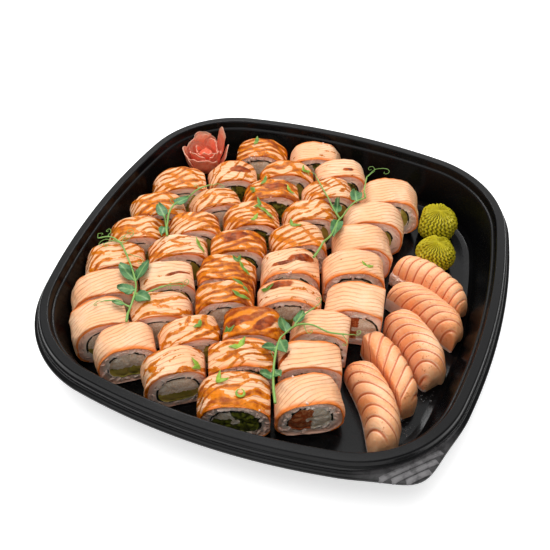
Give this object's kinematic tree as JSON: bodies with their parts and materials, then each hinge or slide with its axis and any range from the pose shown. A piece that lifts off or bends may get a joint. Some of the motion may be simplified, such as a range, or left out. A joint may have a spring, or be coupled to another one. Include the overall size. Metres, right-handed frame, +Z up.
{
  "type": "takeaway sushi tray",
  "caption": "Square black takeaway tray with a corner lifting tab, packed with salmon sushi rolls, nigiri, wasabi, pickled ginger and pea shoots.",
  "frame": {"origin": "middle of the tray's underside", "axes": "+Z up, -Y toward the front edge of the tray, the lifting tab at the +X -Y corner"},
  "size_m": [0.2998, 0.2998, 0.0404],
  "materials": {
    "tray": "satin black",
    "roll": "moist salmon over rice",
    "nigiri": "moist salmon over rice",
    "wasabi": "matt paste",
    "ginger": "wet pickled slices",
    "pea_shoot": "fresh leaves and stems"
  },
  "bodies": {
    "root": {"tray": "tray", "roll_a1": "roll", "roll_a2": "roll", "roll_a3": "roll", "roll_a4": "roll", "roll_a5": "roll", "roll_a6": "roll", "roll_a7": "roll", "roll_b1": "roll", "roll_b2": "roll", "roll_b3": "roll", "roll_b4": "roll", "roll_b5": "roll", "roll_b6": "roll", "roll_b7": "roll", "roll_b8": "roll", "roll_b9": "roll", "roll_c1": "roll", "roll_c2": "roll", "roll_c3": "roll", "roll_c4": "roll", "roll_c5": "roll", "roll_c6": "roll", "roll_c7": "roll", "roll_c8": "roll", "roll_c9": "roll", "roll_c10": "roll", "roll_d1": "roll", "roll_d2": "roll", "roll_d3": "roll", "roll_d4": "roll", "roll_d5": "roll", "roll_d6": "roll", "roll_d7": "roll", "roll_d8": "roll", "roll_d9": "roll", "roll_e1": "roll", "roll_e2": "roll", "roll_e3": "roll", "roll_e4": "roll", "roll_e5": "roll", "nigiri_1": "nigiri", "nigiri_2": "nigiri", "nigiri_3": "nigiri", "nigiri_4": "nigiri", "nigiri_5": "nigiri", "wasabi_1": "wasabi", "wasabi_2": "wasabi", "ginger_rose": "ginger", "pea_shoot_1": "pea_shoot", "pea_shoot_2": "pea_shoot", "pea_shoot_3": "pea_shoot", "pea_shoot_4": "pea_shoot"}
  },
  "joints": []
}
